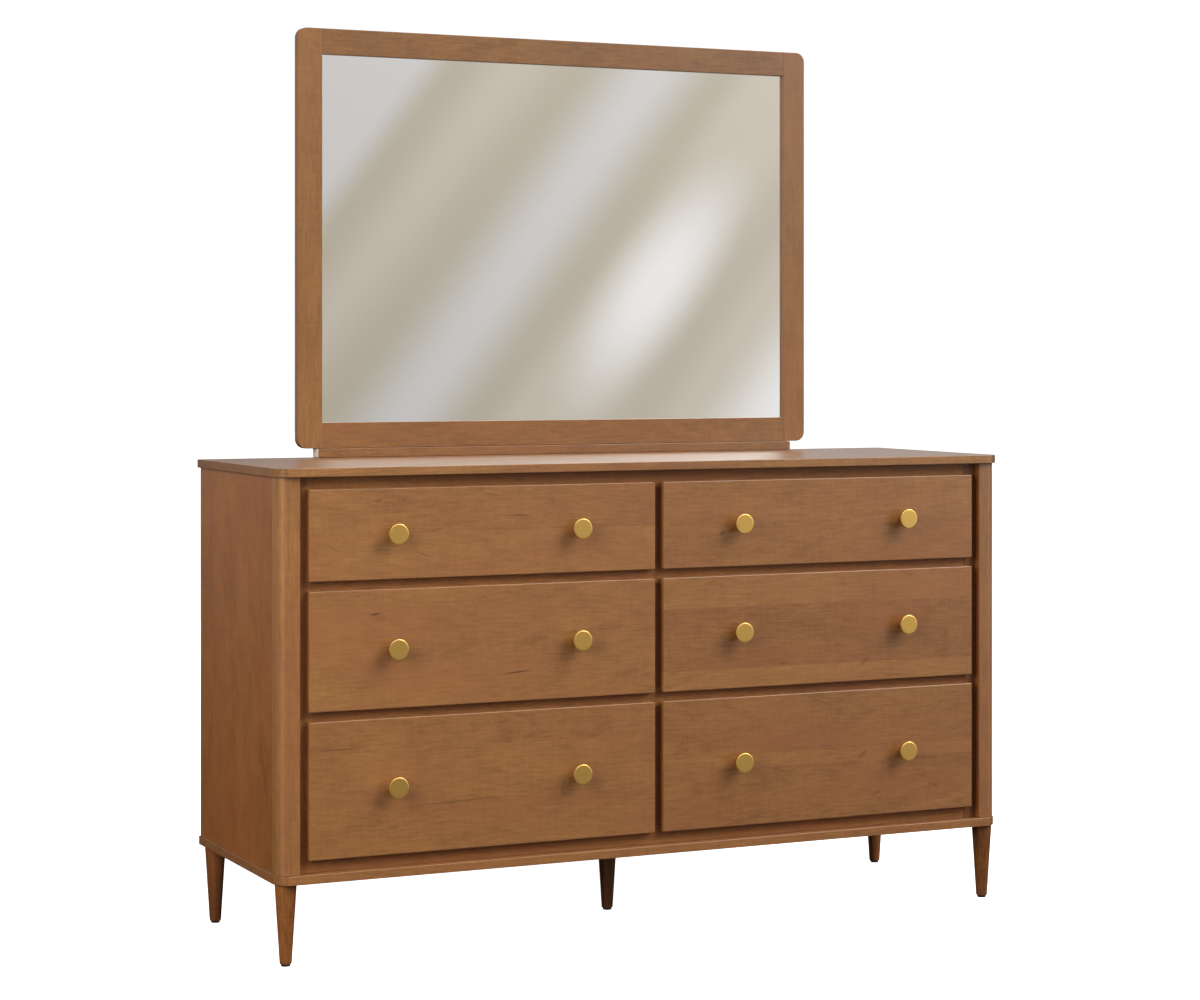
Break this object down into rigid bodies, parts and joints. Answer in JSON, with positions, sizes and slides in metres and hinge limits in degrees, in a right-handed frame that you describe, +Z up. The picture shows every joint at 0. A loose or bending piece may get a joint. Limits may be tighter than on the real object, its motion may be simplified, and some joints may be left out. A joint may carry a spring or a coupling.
{
  "type": "dresser",
  "caption": "Low double-column chest of drawers in stained wood on tapered round legs, with round brass knobs and a landscape mirror in a slim rounded frame standing on its top.",
  "frame": {"origin": "middle of the whole object's footprint, on the floor under its glides, with the drawers closed", "axes": "+Z up; -Y out of the drawer fronts, towards the person who opens them; +X to that person's right, along the length of the dresser"},
  "size_m": [1.524, 0.5152, 1.7327],
  "materials": {
    "stained_maple": "warm brown stain under a satin clear coat",
    "drawer_birch": "clear satin lacquer",
    "plywood": "plain, unfinished",
    "satin_brass": "satin",
    "black_nylon": "matt",
    "mirror_glass": "polished, silvered behind"
  },
  "bodies": {
    "carcass": {"top_panel": "stained_maple", "base_panel": "stained_maple", "side_panel_left": "stained_maple", "side_panel_right": "stained_maple", "front_post_left": "stained_maple", "front_post_right": "stained_maple", "runner_board_left": "stained_maple", "runner_board_right": "stained_maple", "centre_partition": "stained_maple", "back_panel": "plywood", "rear_rail": "stained_maple", "face_rail_top": "stained_maple", "face_rail_upper": "stained_maple", "face_rail_lower": "stained_maple", "face_rail_bottom": "stained_maple", "leg_front_left": "stained_maple", "leg_front_right": "stained_maple", "leg_back_left": "stained_maple", "leg_back_right": "stained_maple", "leg_centre": "stained_maple", "glide_front_left": "black_nylon", "glide_front_right": "black_nylon", "glide_back_left": "black_nylon", "glide_back_right": "black_nylon", "glide_centre": "black_nylon", "mirror_stile_left": "stained_maple", "mirror_stile_right": "stained_maple", "mirror_rail_top": "stained_maple", "mirror_rail_bottom": "stained_maple", "mirror_glass": "mirror_glass", "mirror_backing": "plywood", "mirror_foot_rail": "stained_maple", "mirror_support_left": "stained_maple", "mirror_support_right": "stained_maple"},
    "drawer_left_top": {"drawer_front_left_top": "stained_maple", "drawer_box_left_top": "drawer_birch", "knob_left_top_left": "satin_brass", "knob_left_top_right": "satin_brass"},
    "drawer_left_middle": {"drawer_front_left_middle": "stained_maple", "drawer_box_left_middle": "drawer_birch", "knob_left_middle_left": "satin_brass", "knob_left_middle_right": "satin_brass"},
    "drawer_left_bottom": {"drawer_front_left_bottom": "stained_maple", "drawer_box_left_bottom": "drawer_birch", "knob_left_bottom_left": "satin_brass", "knob_left_bottom_right": "satin_brass"},
    "drawer_right_top": {"drawer_front_right_top": "stained_maple", "drawer_box_right_top": "drawer_birch", "knob_right_top_left": "satin_brass", "knob_right_top_right": "satin_brass"},
    "drawer_right_middle": {"drawer_front_right_middle": "stained_maple", "drawer_box_right_middle": "drawer_birch", "knob_right_middle_left": "satin_brass", "knob_right_middle_right": "satin_brass"},
    "drawer_right_bottom": {"drawer_front_right_bottom": "stained_maple", "drawer_box_right_bottom": "drawer_birch", "knob_right_bottom_left": "satin_brass", "knob_right_bottom_right": "satin_brass"}
  },
  "joints": [
    {"name": "slide_left_top", "type": "slide", "parent": "carcass", "child": "drawer_left_top", "axis": [0, -1, 0], "range_m": [0, 0.3]},
    {"name": "slide_left_middle", "type": "slide", "parent": "carcass", "child": "drawer_left_middle", "axis": [0, -1, 0], "range_m": [0, 0.3]},
    {"name": "slide_left_bottom", "type": "slide", "parent": "carcass", "child": "drawer_left_bottom", "axis": [0, -1, 0], "range_m": [0, 0.3]},
    {"name": "slide_right_top", "type": "slide", "parent": "carcass", "child": "drawer_right_top", "axis": [0, -1, 0], "range_m": [0, 0.3]},
    {"name": "slide_right_middle", "type": "slide", "parent": "carcass", "child": "drawer_right_middle", "axis": [0, -1, 0], "range_m": [0, 0.3]},
    {"name": "slide_right_bottom", "type": "slide", "parent": "carcass", "child": "drawer_right_bottom", "axis": [0, -1, 0], "range_m": [0, 0.3]}
  ]
}
